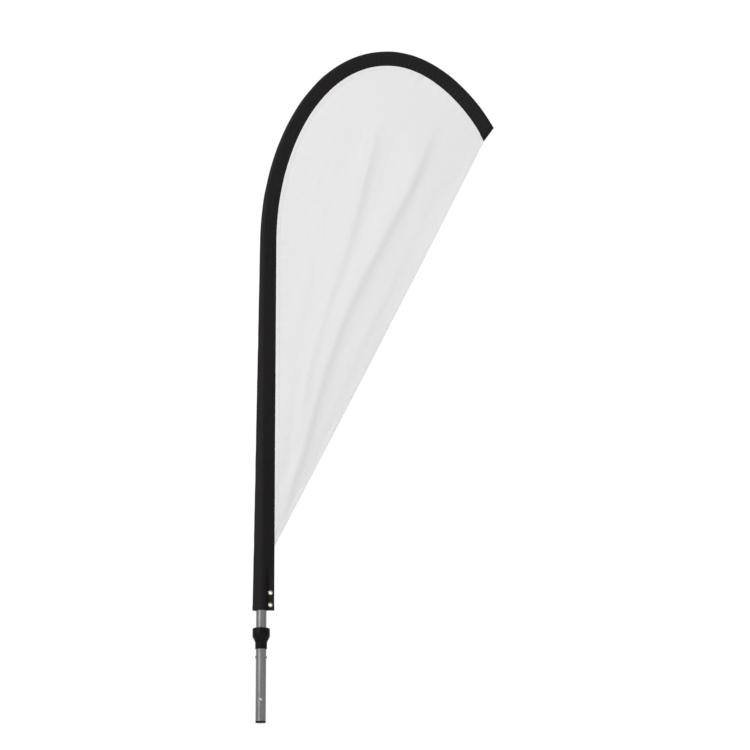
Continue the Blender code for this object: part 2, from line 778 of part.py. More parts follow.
def make_panel(parent, finish):
    """The sheet, extruded to its thickness."""
    built = bmesh.new()
    front = [built.verts.new(point - Vector((0.0, PANEL_HALF, 0.0))) for point in panel_outline()]
    face = built.faces.new(front)
    grown = bmesh.ops.extrude_face_region(built, geom=[face])
    moved = [thing for thing in grown["geom"] if isinstance(thing, bmesh.types.BMVert)]
    bmesh.ops.translate(built, verts=moved, vec=(0.0, 2.0 * PANEL_HALF, 0.0))
    add_object("flag_panel", built, finish, parent, round_piece=False)


# ---------------------------------------------------------------- assembly

def add_empty(name, parent, location):
    """A parent that stands on a joint's axis."""
    made = bpy.data.objects.new(name, None)
    made.empty_display_size = 0.05
    bpy.context.collection.objects.link(made)
    made.parent = parent
    made.location = location
    return made


def main():
    clear_scene()
    aluminium = material("satin_aluminium", (0.50, 0.51, 0.52), 0.38, 1.0)
    steel = material("zinc_steel", (0.62, 0.62, 0.60), 0.35, 1.0)
    black_nylon = material("black_nylon", (0.015, 0.015, 0.016), 0.45)
    acetal = material("white_acetal", (0.80, 0.80, 0.76), 0.40)
    rubber = material("black_rubber", (0.02, 0.02, 0.02), 0.80)
    fibreglass = material("dark_fibreglass", (0.05, 0.05, 0.05), 0.45)
    brass = material("aged_brass", (0.42, 0.34, 0.18), 0.40, 1.0)
    sleeve_cloth = material("black_sleeve_cloth", (0.016, 0.014, 0.015), 0.90)
    flag_cloth = material("white_flag_cloth", (0.80, 0.80, 0.80), 0.85)

    mount = add_empty("mount_frame", None, (0.0, 0.0, 0.0))
    button_axis = add_empty("snap_button_axis", mount, (0.0, 0.0, BUTTON_Z))
    pole = add_empty("flag_swivel_axis", None, (0.0, 0.0, 0.0))

    make_end_plug(mount, black_nylon)
    make_mount_tube(mount, aluminium)
    make_snap_button(button_axis, steel)
    make_snap_spring(mount, steel)
    make_rivets(mount, aluminium)
    make_swivel_body(mount, black_nylon)
    make_bushes(mount, acetal)
    make_dust_seal(mount, rubber)

    make_swivel_bolt(pole, steel)
    make_washers(pole, steel)
    make_lock_nut(pole, steel)
    make_pole_foot(pole, black_nylon)
    make_straight_pole(pole, aluminium, fibreglass, black_nylon)
    make_tip_rod(pole, fibreglass, black_nylon)
    make_sleeve(pole, sleeve_cloth)
    make_eyelets(pole, brass)
    make_panel(pole, flag_cloth)


main()
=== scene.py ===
"""Looks of a roof-mounted teardrop flag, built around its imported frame.

The white sheet is a cloth simulation pinned along the sleeve, and the black sleeve is a lofted
skin drawn over the bent pole. The aluminium tubes and the small pieces that show are made again
with fine profiles, and the other nodes of the frame only get their materials. Everything is in
metres, +Z up: the pole stands on Z and the flag flies to +X.
"""
import math

import bmesh
import bpy
import numpy as np
from mathutils import Matrix, Vector, geometry, noise
from mathutils.bvhtree import BVHTree


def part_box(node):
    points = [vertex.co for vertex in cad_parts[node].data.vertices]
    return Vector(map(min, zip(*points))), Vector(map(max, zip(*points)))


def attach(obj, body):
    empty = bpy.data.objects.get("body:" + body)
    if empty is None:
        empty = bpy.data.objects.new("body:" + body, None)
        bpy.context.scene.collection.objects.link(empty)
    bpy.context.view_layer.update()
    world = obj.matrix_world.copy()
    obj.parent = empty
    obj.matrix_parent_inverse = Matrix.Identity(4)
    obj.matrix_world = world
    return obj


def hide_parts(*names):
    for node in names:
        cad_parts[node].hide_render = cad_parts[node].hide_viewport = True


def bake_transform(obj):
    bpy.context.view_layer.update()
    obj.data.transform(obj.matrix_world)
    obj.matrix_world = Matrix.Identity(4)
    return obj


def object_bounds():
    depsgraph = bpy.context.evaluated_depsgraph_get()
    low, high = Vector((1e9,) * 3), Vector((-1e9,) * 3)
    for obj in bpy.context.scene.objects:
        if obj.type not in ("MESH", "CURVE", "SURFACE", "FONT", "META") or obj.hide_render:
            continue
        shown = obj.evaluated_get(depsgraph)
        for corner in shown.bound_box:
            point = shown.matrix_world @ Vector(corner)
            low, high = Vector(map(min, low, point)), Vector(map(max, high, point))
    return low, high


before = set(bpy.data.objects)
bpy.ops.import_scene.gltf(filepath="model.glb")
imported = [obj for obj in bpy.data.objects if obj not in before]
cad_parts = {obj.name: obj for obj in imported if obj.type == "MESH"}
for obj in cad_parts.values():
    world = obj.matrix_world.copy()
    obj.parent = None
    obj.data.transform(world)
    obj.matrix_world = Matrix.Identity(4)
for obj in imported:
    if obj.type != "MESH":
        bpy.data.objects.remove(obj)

CAD_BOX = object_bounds()

# ---------------- sizes from the frame

TUBE_LOW, TUBE_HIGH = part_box("mount_tube")
BASE_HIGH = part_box("base_tube")[1]
HEAD_LOW, HEAD_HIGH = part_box("swivel_body")
SEAL_LOW, SEAL_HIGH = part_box("dust_seal")
BUTTON_LOW, BUTTON_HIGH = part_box("snap_button")
PANEL_LOW, PANEL_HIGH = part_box("flag_panel")

TUBE_R = BASE_HIGH.y
TUBE_WALL = 0.0015
HEAD_R = HEAD_HIGH.y
SLEEVE_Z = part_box("pole_sleeve")[0].z
BUTTON_Z = (BUTTON_LOW.z + BUTTON_HIGH.z) / 2
CORNER = Vector((PANEL_LOW.x, 0.0, PANEL_LOW.z))    # lower corner of the sheet
GAP = 0.0003                                        # between pieces that touch
BORE_FIT = TUBE_R - TUBE_WALL - GAP                 # radius of what stands in a tube
FRONT = (0.0, -1.0, 0.0)

# The pole's line: straight up to BEND_Z, then two curves that meet level at the apex.
BEND_Z = 1.325
APEX = np.array((0.341, 1.865))
TIP = np.array((0.619, 1.664))
TIP_ANGLE = math.radians(28.0)
HANDLES = {"rise": 0.274, "apex_in": 0.209, "apex_out": 0.148, "tip": 0.050}

# Sleeve: reach from the pole's line to its outer edge and to its edge beside the sheet.
OUT_LOW, OUT_BEND, OUT_TIP = 0.0238, 0.0106, 0.0078
IN_STRAIGHT, IN_TIP = 0.0344, 0.0340
SETTLE = 0.350              # the reach settles to its tip value over this much of the bend
END_RUN = 0.0194            # the sleeve runs on past the rod's tip
END_SLANT, SLANT_LENGTH = 0.488, 0.090
WEB_TOP_Z, WEB_END_Z = 0.374, 0.450
WEB_HALF = 0.0010           # the flat web at the lower right is two layers sewn together
SLEEVE_CLOTH = 0.0008
EDGE_ROUND = 0.0016
SEAM_INSET = 0.0045         # of the topstitching, from the inner edge
SEAM_PITCH = 0.0135         # of the puckers along the bend

# Sheet
TUCK = 0.0015               # the sheet runs this far into the sleeve's edge
SPACING = 0.0075            # of the sheet's points
BOW = 0.0025
SLACK = 0.016               # share of spare width that the folds take up
TENSION = 0.0035            # the sheet is cut this share short along the pole
SHEET_CLOTH = 0.0004
HEM_WIDTH = 0.012
BAND_WIDTH = 0.0125
HEM_RISE, BAND_RISE = 0.0007, 0.0006

EYELETS = ("upper", "lower")
EYELET_CUT_R = 0.0046       # of the hole in the sleeve
EYELET_BORE_R = 0.0038


# ---------------- helpers

def smooth_step(value):
    """Ease from 0 to 1, for numbers or arrays."""
    value = np.clip(value, 0.0, 1.0)
    return value * value * (3.0 - 2.0 * value)


def hill(value, centre, width):
    """A smooth hill of height 1 around a centre."""
    return math.exp(-(((value - centre) / width) ** 2))


def wander(x, y, z, scale, seed=0.0):
    """Smooth repeatable noise between about -1 and 1."""
    return noise.noise(Vector((x * scale + seed, y * scale - seed, z * scale + 2.0 * seed)))


def run_along(path):
    """The distance of each of a path's points from its start."""
    steps = np.linalg.norm(np.diff(path, axis=0), axis=1)
    return np.concatenate([[0.0], np.cumsum(steps)])


def along_line(places, run, line):
    """Points of a line at places along its run."""
    return np.stack([np.interp(places, run, column) for column in line.T], axis=-1)


def unit(vectors):
    """Vectors with their length brought to 1."""
    return vectors / np.maximum(np.linalg.norm(vectors, axis=-1, keepdims=True), 1e-9)


def right_of(directions):
    """Unit vectors to the right of directions in a plane."""
    return unit(np.stack([directions[..., 1], -directions[..., 0]], axis=-1))


def middle_of(node):
    """The middle of a node's box in the plane of the flag."""
    low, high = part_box(node)
    return (low.x + high.x) / 2, 0.0, (low.z + high.z) / 2


def shade(piece, surface, smooth):
    """Give a piece its material, smooth over its rounds and sharp at its edges."""
    piece.data.materials.clear()
    piece.data.materials.append(surface.material)
    piece.data.shade_smooth()
    piece.data.set_sharp_from_angle(angle=math.radians(smooth))


def finish_piece(piece, body, surface, replaced=(), smooth=40.0):
    """Give a piece its material, shading, body and the nodes that it stands for."""
    shade(piece, surface, smooth)
    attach(piece, body)
    if replaced:
        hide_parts(*replaced)


def new_piece(name, points, faces):
    """A mesh object from points and faces."""
    mesh = bpy.data.meshes.new(name)
    mesh.from_pydata([tuple(point) for point in points], [], faces)
    mesh.update()
    piece = bpy.data.objects.new(name, mesh)
    bpy.context.collection.objects.link(piece)
    return piece


def face_outwards(piece):
    """Turn all faces of a closed piece outwards."""
    built = bmesh.new()
    built.from_mesh(piece.data)
    bmesh.ops.recalc_face_normals(built, faces=built.faces)
    built.to_mesh(piece.data)
    built.free()


def turned(name, profile, segments=96, place=None):
    """A ring or solid spun about Z from a profile of (radius, height) points."""
    on_axis = 1e-7
    rings = []
    points = []
    for radius, height in profile:
        if radius < on_axis:
            rings.append([len(points)] * segments)
            points.append((0.0, 0.0, height))
            continue
        rings.append(list(range(len(points), len(points) + segments)))
        for step in range(segments):
            angle = math.tau * step / segments
            points.append((radius * math.cos(angle), radius * math.sin(angle), height))
    closed = profile[0][0] > on_axis or profile[-1][0] > on_axis
    faces = []
    for low, high in zip(rings, rings[1:] + (rings[:1] if closed else [])):
        for step in range(segments):
            after = (step + 1) % segments
            corners = [low[step], low[after], high[after], high[step]]
            faces.append(list(dict.fromkeys(corners)))
    piece = new_piece(name, points, [face for face in faces if len(face) > 2])
    if place:
        piece.data.transform(place)
    face_outwards(piece)
    return piece


def replace_turned(node, body, surface, profile, smooth=35.0, segments=96, place=None):
    """Put a turned fine piece in a node's place."""
    piece = turned(f"{node}_fine", profile, segments, place)
    finish_piece(piece, body, surface, [node], smooth)


def arc(centre, radius, start, end, steps=6):
    """Points of a rounded corner in a profile, angles in degrees from +radius to +height."""
    made = []
    for step in range(steps + 1):
        angle = math.radians(start + (end - start) * step / steps)
        made.append((centre[0] + radius * math.cos(angle), centre[1] + radius * math.sin(angle)))
    return made


def facing(direction, at):
    """A matrix that stands a turned piece along a direction at a point."""
    turn = Vector((0.0, 0.0, 1.0)).rotation_difference(Vector(direction))
    return Matrix.Translation(at) @ turn.to_matrix().to_4x4()


def apply_modifiers(piece):
    """Replace the mesh by what its modifiers make of it."""
    evaluated = piece.evaluated_get(bpy.context.evaluated_depsgraph_get())
    mesh = bpy.data.meshes.new_from_object(evaluated)
    piece.modifiers.clear()
    piece.data = mesh


def cut_hole(piece, at, radius, start, end, segments):
    """Cut a round hole along Y, from one reach to another in front of a point."""
    profile = [(0.0, start), (radius, start), (radius, end), (0.0, end)]
    cutter = turned("hole_cutter", profile, segments, facing(FRONT, at))
    cut = piece.modifiers.new("hole", "BOOLEAN")
    cut.object = cutter
    apply_modifiers(piece)
    bpy.data.objects.remove(cutter, do_unlink=True)


# ---------------- material building

class Nodes:
    """Short calls for the nodes of a tree."""

    def __init__(self, owner):
        owner.use_nodes = True
        self.tree = owner.node_tree

    def add(self, kind, output=0, settings=(), **links):
        """A node's output; settings are its properties, links its inputs by name or index."""
        made = self.tree.nodes.new(kind)
        for key, value in settings:
            setattr(made, key, value)
        for key, value in links.items():
            self.feed(made, key, value)
        return made.outputs[output]

    def feed(self, made, key, value):
        """Set an input, or link another node's output to it."""
        target = made.inputs[int(key[1:])] if key[0] == "_" else made.inputs[key]
        if isinstance(value, bpy.types.NodeSocket):
            self.tree.links.new(value, target)
        else:
            target.default_value = value

    def maths(self, operation, first, second):
        """A Math node's output."""
        return self.add("ShaderNodeMath", 0, [("operation", operation)], _0=first, _1=second)

    def span(self, value, low, high, new_low, new_high, curve="LINEAR"):
        """A value moved from one range to another, clamped."""
        limits = {"_1": low, "_2": high, "_3": new_low, "_4": new_high}
        kind = [("interpolation_type", curve)]
        return self.add("ShaderNodeMapRange", 0, kind, Value=value, **limits)


class Surface(Nodes):
    """A Principled material with short calls for the patterns that give it its detail."""

    def __init__(self, name, roughness, metallic=0.0, specular=0.5):
        self.material = bpy.data.materials.new(name)
        super().__init__(self.material)
        self.shader = self.tree.nodes["Principled BSDF"]
        self.shader.inputs["Roughness"].default_value = roughness
        self.shader.inputs["Metallic"].default_value = metallic
        self.shader.inputs["Specular IOR Level"].default_value = specular

    def mix(self, share, first, second):
        """A colour between two colours."""
        colours = [("data_type", "RGBA")]
        return self.add("ShaderNodeMix", 2, colours, _0=share, _6=first, _7=second)

    def fade(self, value, low, high, first, second, most=1.0):
        """A colour that turns from the first to the second as a value passes from low to high."""
        return self.mix(self.span(value, low, high, 0.0, most), first, second)

    def place(self, scale=(1.0, 1.0, 1.0), source="Object"):
        """Coordinates in metres, stretched per axis; a source other than Object is an attribute."""
        if source == "Object":
            start = self.add("ShaderNodeTexCoord", "Object")
        else:
            start = self.add("ShaderNodeAttribute", "Vector", [("attribute_name", source)])
        return self.add("ShaderNodeMapping", Vector=start, Scale=scale)

    def cloud(self, scale, detail, *stretch):
        """Noise between 0 and 1, perhaps stretched per axis."""
        inputs = {"Vector": self.place(*stretch), "Scale": scale, "Detail": detail}
        return self.add("ShaderNodeTexNoise", Roughness=0.55, **inputs)

    def waves(self, where, scale, direction, distortion=0.0):
        """Straight bands between 0 and 1 along an axis."""
        kind = [("wave_type", "BANDS"), ("bands_direction", direction), ("wave_profile", "SIN")]
        inputs = {"Vector": where, "Scale": scale, "Distortion": distortion}
        return self.add("ShaderNodeTexWave", 1, kind, **inputs)

    def relief(self, *layers):
        """Stack bumps of (height, strength, distance in metres) onto the shader's normal."""
        below = {}
        for height, strength, distance in layers:
            inputs = {"Height": height, "Strength": strength, "Distance": distance}
            below = {"Normal": self.add("ShaderNodeBump", **inputs, **below)}
        self.feed(self.shader, "Normal", below["Normal"])

    def colour(self, value):
        """The base colour: a linked colour."""
        self.feed(self.shader, "Base Color", value)

    def rough(self, value, first, second, low=0.3, high=0.7):
        """The roughness, which goes from the first to the second with a value."""
        self.feed(self.shader, "Roughness", self.span(value, low, high, first, second))


def grey(value, warm=0.0):
    """A grey, slightly warm or cool."""
    return (value * (1.0 + warm), value, value * (1.0 - warm), 1.0)


def flag_cloth_material():
    """White warp-knitted polyester: fine wales and courses, a faint uneven dye and soft sheen."""
    made = Surface("flag_cloth", 0.86, specular=0.12)
    where = made.place()
    knit = made.maths("MULTIPLY", made.waves(where, 420.0, "X"), made.waves(where, 300.0, "Z"))
    dye = made.cloud(5.0, 3.0)
    slub = made.cloud(4.0, 2.0, (140.0, 1.0, 9.0))
    tone = made.mix(dye, grey(0.662, 0.002), grey(0.694, -0.002))
    tone = made.fade(slub, 0.35, 0.75, tone, grey(0.636), 0.25)
    made.colour(made.mix(made.span(knit, 0.0, 1.0, 0.22, 0.0), tone, grey(0.55)))
    made.rough(dye, 0.82, 0.90)
    made.relief((knit, 0.35, 0.0002), (slub, 0.20, 0.0002))
    made.shader.inputs["Sheen Weight"].default_value = 0.08
    return made


def sleeve_cloth_material():
    """Black woven elastic: ribs that run along the sleeve, cross threads, lint and a dull sheen."""
    made = Surface("sleeve_cloth", 0.62, specular=0.17)
    where = made.place(source="weave")
    ribs = made.waves(where, 260.0, "X", 0.15)
    threads = made.waves(where, 420.0, "Y", 0.15)
    weave = made.maths("MULTIPLY", ribs, made.span(threads, 0.0, 1.0, 0.45, 1.0))
    worn = made.cloud(9.0, 4.0)
    lint = made.cloud(900.0, 2.0)
    tone = made.fade(weave, 0.0, 1.0, grey(0.0020), (0.0088, 0.0060, 0.0068, 1.0))
    tone = made.fade(worn, 0.45, 0.75, tone, (0.0135, 0.0098, 0.0110, 1.0), 0.35)
    made.colour(made.fade(lint, 0.70, 0.80, tone, grey(0.05), 0.30))
    made.rough(worn, 0.54, 0.70)
    made.relief((weave, 0.55, 0.0004), (worn, 0.15, 0.001))
    return made


def thread_material(name, tone):
    """Twisted sewing thread."""
    made = Surface(name, 0.6, specular=0.25)
    twist = made.waves(made.place(), 900.0, "DIAGONAL", 0.4)
    made.colour(made.mix(twist, grey(tone * 0.7), grey(tone)))
    made.rough(twist, 0.5, 0.7, 0.0, 1.0)
    made.relief((twist, 0.4, 0.0002))
    return made


def tube_material():
    """Satin drawn aluminium: fine lines along the tube, a few scuffs and dull handling marks."""
    made = Surface("tube_aluminium", 0.34, metallic=1.0)
    drawn = made.cloud(6.0, 4.0, (260.0, 260.0, 2.5))
    marks = made.cloud(38.0, 5.0)
    scuffs = made.cloud(1.2, 3.0, (60.0, 60.0, 420.0))
    tone = made.fade(drawn, 0.3, 0.7, grey(0.215), grey(0.285, -0.01))
    tone = made.fade(marks, 0.55, 0.75, tone, grey(0.19), 0.45)
    made.colour(made.fade(scuffs, 0.68, 0.74, tone, grey(0.36), 0.5))
    made.rough(made.maths("ADD", drawn, marks), 0.28, 0.46, 0.7, 1.3)
    made.relief((drawn, 0.25, 0.0002), (scuffs, 0.08, 0.0002))
    return made


def moulded_material(name, tone, rough_low, rough_high, grain):
    """Moulded plastic or rubber with a spark-eroded grain and faint handling wear."""
    made = Surface(name, rough_high, specular=0.10)
    fine = made.cloud(grain, 2.0)
    worn = made.cloud(55.0, 4.0)
    streaks = made.cloud(2.0, 3.0, (30.0, 30.0, 300.0))
    tones = made.fade(worn, 0.4, 0.75, grey(tone), grey(tone * 1.6 + 0.001), 0.6)
    made.colour(made.fade(streaks, 0.62, 0.75, tones, grey(tone * 2.0 + 0.005), 0.25))
    made.rough(worn, rough_high, rough_low)
    made.relief((fine, 0.30, 0.00015), (streaks, 0.06, 0.0002))
    return made


def brass_material():
    """Dulled brass with brown tarnish in patches and fine turning marks."""
    made = Surface("eyelet_brass", 0.36, metallic=1.0)
    tarnish = made.cloud(420.0, 4.0)
    fine = made.cloud(2600.0, 2.0)
    bright = (0.47, 0.43, 0.26, 1.0)
    dull = (0.245, 0.22, 0.13, 1.0)
    made.colour(made.fade(tarnish, 0.35, 0.70, bright, dull))
    made.rough(tarnish, 0.26, 0.50)
    made.relief((tarnish, 0.15, 0.0002), (fine, 0.10, 0.0001))
    return made


def plated_material():
    """Zinc-plated steel with a cloudy passivated film."""
    made = Surface("plated_steel", 0.3, metallic=1.0)
    film = made.cloud(160.0, 4.0)
    lines = made.cloud(1.0, 2.0, (900.0, 900.0, 60.0))
    made.colour(made.mix(film, (0.60, 0.60, 0.56, 1.0), (0.72, 0.73, 0.74, 1.0)))
    made.rough(film, 0.24, 0.40)
    made.relief((lines, 0.12, 0.0001))
    return made


def acetal_material():
    """White bearing plastic with turning marks."""
    made = Surface("acetal", 0.36, specular=0.45)
    rings = made.waves(made.place(), 700.0, "Z", 0.3)
    dust = made.cloud(120.0, 3.0)
    made.colour(made.fade(dust, 0.4, 0.8, grey(0.78, 0.02), grey(0.62, 0.05), 0.5))
    made.rough(dust, 0.32, 0.44)
    made.relief((rings, 0.15, 0.0001))
    return made


def fibreglass_material():
    """Pultruded rod: dark resin over long glass fibres."""
    made = Surface("fibreglass", 0.36, specular=0.5)
    fibres = made.cloud(2.0, 4.0, (500.0, 500.0, 6.0))
    made.colour(made.fade(fibres, 0.35, 0.7, grey(0.02), grey(0.075, 0.03)))
    made.rough(fibres, 0.28, 0.46)
    made.relief((fibres, 0.2, 0.0002))
    return made


# ---------------- the pole's line

def bezier(points, shares):
    """Points of a cubic Bezier curve in the XZ plane."""
    share = shares[:, None]
    rest = 1.0 - share
    return (
        points[0] * rest ** 3
        + points[1] * 3.0 * rest ** 2 * share
        + points[2] * 3.0 * rest * share ** 2
        + points[3] * share ** 3
    )


def bend_table():
    """Closely spaced points of the bend with their distance from its start."""
    start = np.array((0.0, BEND_Z))
    down = np.array((math.sin(TIP_ANGLE), -math.cos(TIP_ANGLE)))
    level = np.array((1.0, 0.0))
    up = np.array((0.0, 1.0))
    rise = (start, start + up * HANDLES["rise"], APEX - level * HANDLES["apex_in"], APEX)
    fall = (APEX, APEX + level * HANDLES["apex_out"], TIP - down * HANDLES["tip"], TIP)
    shares = np.linspace(0.0, 1.0, 400)
    points = np.concatenate([bezier(rise, shares), bezier(fall, shares)[1:]])
    return points, run_along(points)


BEND_POINTS, BEND_DISTANCES = bend_table()
BEND_LENGTH = float(BEND_DISTANCES[-1])
SLEEVE_START = SLEEVE_Z - BEND_Z
END_DISTANCE = BEND_LENGTH + END_RUN


def pole_line(distances):
    """Points, directions and inward normals in XZ, by distance past the start of the bend."""
    distances = np.asarray(distances, float)
    below = 2.0             # the straight run is taken this far down
    last = (BEND_POINTS[-1] - BEND_POINTS[-2]) / (BEND_DISTANCES[-1] - BEND_DISTANCES[-2])
    run = np.concatenate([[-below], BEND_DISTANCES, [BEND_LENGTH + 1.0]])
    line = np.concatenate([[(0.0, BEND_Z - below)], BEND_POINTS, [BEND_POINTS[-1] + last]])

    near = 0.002
    before, here, after = (along_line(distances + step, run, line) for step in (-near, 0.0, near))
    return here, unit(after - before), right_of(after - before)


def beside_pole(distances, across):
    """XZ points at a reach from the pole's line, sheared along it where the sleeve slants."""
    point, direction, inward = pole_line(distances)
    slide = across * slant(distances)
    return point + inward * across[..., None] + direction * slide[..., None]


def slant(distances):
    """How far along the pole the cloth moves for each metre of reach, near the slanted end."""
    return smooth_step((distances - BEND_LENGTH + SLANT_LENGTH) / SLANT_LENGTH) * END_SLANT


# ---------------- sleeve

def outer_reach(distance):
    """How far the sleeve's outer edge is from the pole's line."""
    return np.interp(distance, [SLEEVE_START, 0.0, SETTLE], [OUT_LOW, OUT_BEND, OUT_TIP])


def inner_reach(distance):
    """How far the sleeve's inner edge is from the pole's line."""
    return np.interp(distance, [0.0, SETTLE], [IN_STRAIGHT, IN_TIP])


def pole_room(distance):
    """Radius of the sleeve's outer face around the pole, stepped down where the pole thins."""
    tube_end = BASE_HIGH.z + 0.012 - BEND_Z
    steps = (
        # distance past the start of the bend, radius
        (tube_end, 0.0158),
        (tube_end + 0.078, 0.0106),
        (0.016, 0.0106),
        (0.090, 0.0072),
        (BEND_LENGTH - 0.02, 0.0058),
        (BEND_LENGTH + 0.004, 0.0058),
        (END_DISTANCE, 0.0016),
    )
    return float(np.interp(distance, *zip(*steps)))


def web_share(height):
    """1 where the web is pressed flat, 0 where the sleeve is round."""
    return 1.0 - float(smooth_step((height - WEB_TOP_Z) / (WEB_END_Z - WEB_TOP_Z)))


def skin_depth(across, room, left, right):
    """Half depth of a skin drawn tight over the pole and two rounded edges."""
    off_edge = 0.03         # radians left out beside the two directions along X
    angles = np.linspace(off_edge, math.pi - off_edge, 120)
    cosine = np.cos(angles)
    reach = np.maximum(room, EDGE_ROUND - (left - EDGE_ROUND) * cosine)
    reach = np.maximum(reach, EDGE_ROUND + (right - EDGE_ROUND) * cosine)
    depths = (reach[None, :] - across[:, None] * cosine[None, :]) / np.sin(angles)[None, :]
    return np.maximum(depths.min(axis=1), 0.0)


def sleeve_section(distance, half_points=26):
    """A closed ring of (across, depth) points, from the outer edge over the front and back."""
    room = pole_room(distance)
    left = max(float(outer_reach(distance)), room)
    right = float(inner_reach(distance))
    sweep = np.linspace(0.0, math.pi, half_points + 1)
    across = (right - left) / 2.0 - (right + left) / 2.0 * np.cos(sweep)
    depth = skin_depth(across, room, left, right)
    crease = 0.0006         # over which the cloth turns from the tube to the flat web
    snug = np.sqrt(np.maximum(room ** 2 - across ** 2, 0.0))
    flat = WEB_HALF * np.clip((right - across) / crease, 0.0, 1.0) ** 0.5
    pinched = 0.5 * (snug + flat + np.sqrt((snug - flat) ** 2 + crease ** 2)) - crease / 3.0
    pressed = np.where(across > 0.0, np.minimum(depth, np.maximum(pinched, flat)), depth)
    depth = depth + (pressed - depth) * web_share(BEND_Z + distance)
    depth[0] = 0.0
    depth[-1] = 0.0
    front = np.stack([across, -depth], axis=1)
    back = np.stack([across[1:-1], depth[1:-1]], axis=1)[::-1]
    return np.concatenate([front, back])


def sleeve_relief(distance, across, depth, left, right):
    """How far the cloth stands off its tight skin: hems, seam dips, slack folds and puckers."""
    height = BEND_Z + distance
    side = 1.0 if depth <= 0.0 else -1.0
    web = web_share(height)
    from_inner = right - across
    from_outer = across + left
    step = 0.0015           # the height over which a hem's edge rises
    hem = 0.00045 * (1.0 - smooth_step((height - SLEEVE_Z - 0.0125) / step))
    tip_hem = 0.00040 * smooth_step((distance - END_DISTANCE + 0.0155) / step)
    dip = -0.00045 * hill(from_inner, SEAM_INSET, 0.0011) * (1.0 - 0.5 * web)
    slack = smooth_step((left - 0.0135) / 0.008) * hill(from_outer, 0.007, 0.006)
    wave = wander(height, side, 0.0, 9.0, 3.0) + 0.5 * wander(height, side, 0.0, 24.0, 7.0)
    gathered = float(smooth_step((distance + 0.03) / 0.12)) * hill(from_inner, 0.004, 0.009)
    uneven = 2.5 * wander(distance, side, 0.0, 14.0, 1.0)
    ripple = math.sin(math.tau * distance / SEAM_PITCH + uneven)
    loose = wander(height * 0.6, across * 3.0, side, 34.0, 5.0) * (1.0 - web)
    free = 1.0 - hill(from_inner, 0.0, 0.0015)
    puckers = (0.00095 * gathered * ripple + 0.00055 * loose) * free
    return hem + tip_hem + dip + 0.0016 * slack * wave + puckers


def sleeve_distances():
    """Stations along the sleeve, close enough for its puckers."""
    bend = -0.03            # the puckers start this far before the bend
    return np.concatenate([
        np.linspace(SLEEVE_START, SLEEVE_START + 0.018, 13),
        np.arange(SLEEVE_START + 0.022, bend, 0.0060),
        np.arange(bend, END_DISTANCE - 0.022, 0.0034),
        np.linspace(END_DISTANCE - 0.020, END_DISTANCE, 15),
    ])


def sleeve_points():
    """Rows of ring points of the sleeve's outer face, and their places in the cloth."""
    rows = []
    weave = []
    for distance in sleeve_distances():
        ring = sleeve_section(distance)
        left, right = -ring[:, 0].min(), ring[:, 0].max()
        ahead = np.roll(ring, -1, axis=0) - np.roll(ring, 1, axis=0)
        lift = [sleeve_relief(distance, across, depth, left, right) for across, depth in ring]
        across, depth = (ring + right_of(ahead) * np.array(lift)[:, None]).T
        flat = beside_pole(distance, across)
        rows.append(np.stack([flat[:, 0], depth, flat[:, 1]], axis=1))
        wound = run_along(np.concatenate([ring, ring[:1]]))
        wound = np.minimum(wound, wound[-1] - wound)[:-1]
        along = distance + across * slant(distance)
        weave.append(np.stack([wound, along, np.zeros(len(ring))], axis=1))
    return np.array(rows), np.array(weave)


def skin_faces(row_count, ring_count):
    """Quads between rows of a closed ring."""
    faces = []
    for row in range(row_count - 1):
        low = row * ring_count
        high = low + ring_count
        for step in range(ring_count):
            after = (step + 1) % ring_count
            faces.append((low + step, low + after, high + after, high + step))
    return faces


def end_faces(last, ring_count):
    """Faces that close the last ring, from its front points to its back points."""
    faces = []
    for step in range(ring_count // 2):
        back = (ring_count - step) % ring_count
        corners = [step, step + 1, ring_count - step - 1, back]
        corners = [last + corner for corner in dict.fromkeys(corners)]
        if len(corners) > 2:
            faces.append(corners)
    return faces


def make_sleeve(surface):
    """The black sleeve: one skin, open at the bottom, closed along its slanted end."""
    rows, weave = sleeve_points()
    row_count, ring_count = rows.shape[:2]
    faces = skin_faces(row_count, ring_count) + end_faces((row_count - 1) * ring_count, ring_count)
    sleeve = new_piece("sleeve", rows.reshape(-1, 3), faces)
    attribute = sleeve.data.attributes.new("weave", "FLOAT_VECTOR", "POINT")
    attribute.data.foreach_set("vector", weave.astype(np.float32).ravel())
    face_outwards(sleeve)
    shell = sleeve.modifiers.new("shell", "SOLIDIFY")
    shell.thickness = SLEEVE_CLOTH
    shell.offset = -1.0
    shell.use_even_offset = False
    apply_modifiers(sleeve)
    for level in EYELETS:
        cut_hole(sleeve, middle_of(f"eyelet_{level}"), EYELET_CUT_R, -0.02, 0.02, 32)
    finish_piece(sleeve, "flag", surface, ["pole_sleeve"], 60.0)
    distances = sleeve_distances()
    girths = np.linalg.norm(np.roll(rows, -1, axis=1) - rows, axis=2).sum(axis=1)
    length = float(distances[-1] - distances[0])
    area = float(((girths[1:] + girths[:-1]) / 2.0 * np.diff(distances)).sum())
    return sleeve, (float(girths.max()), length), area


# ---------------- stitches

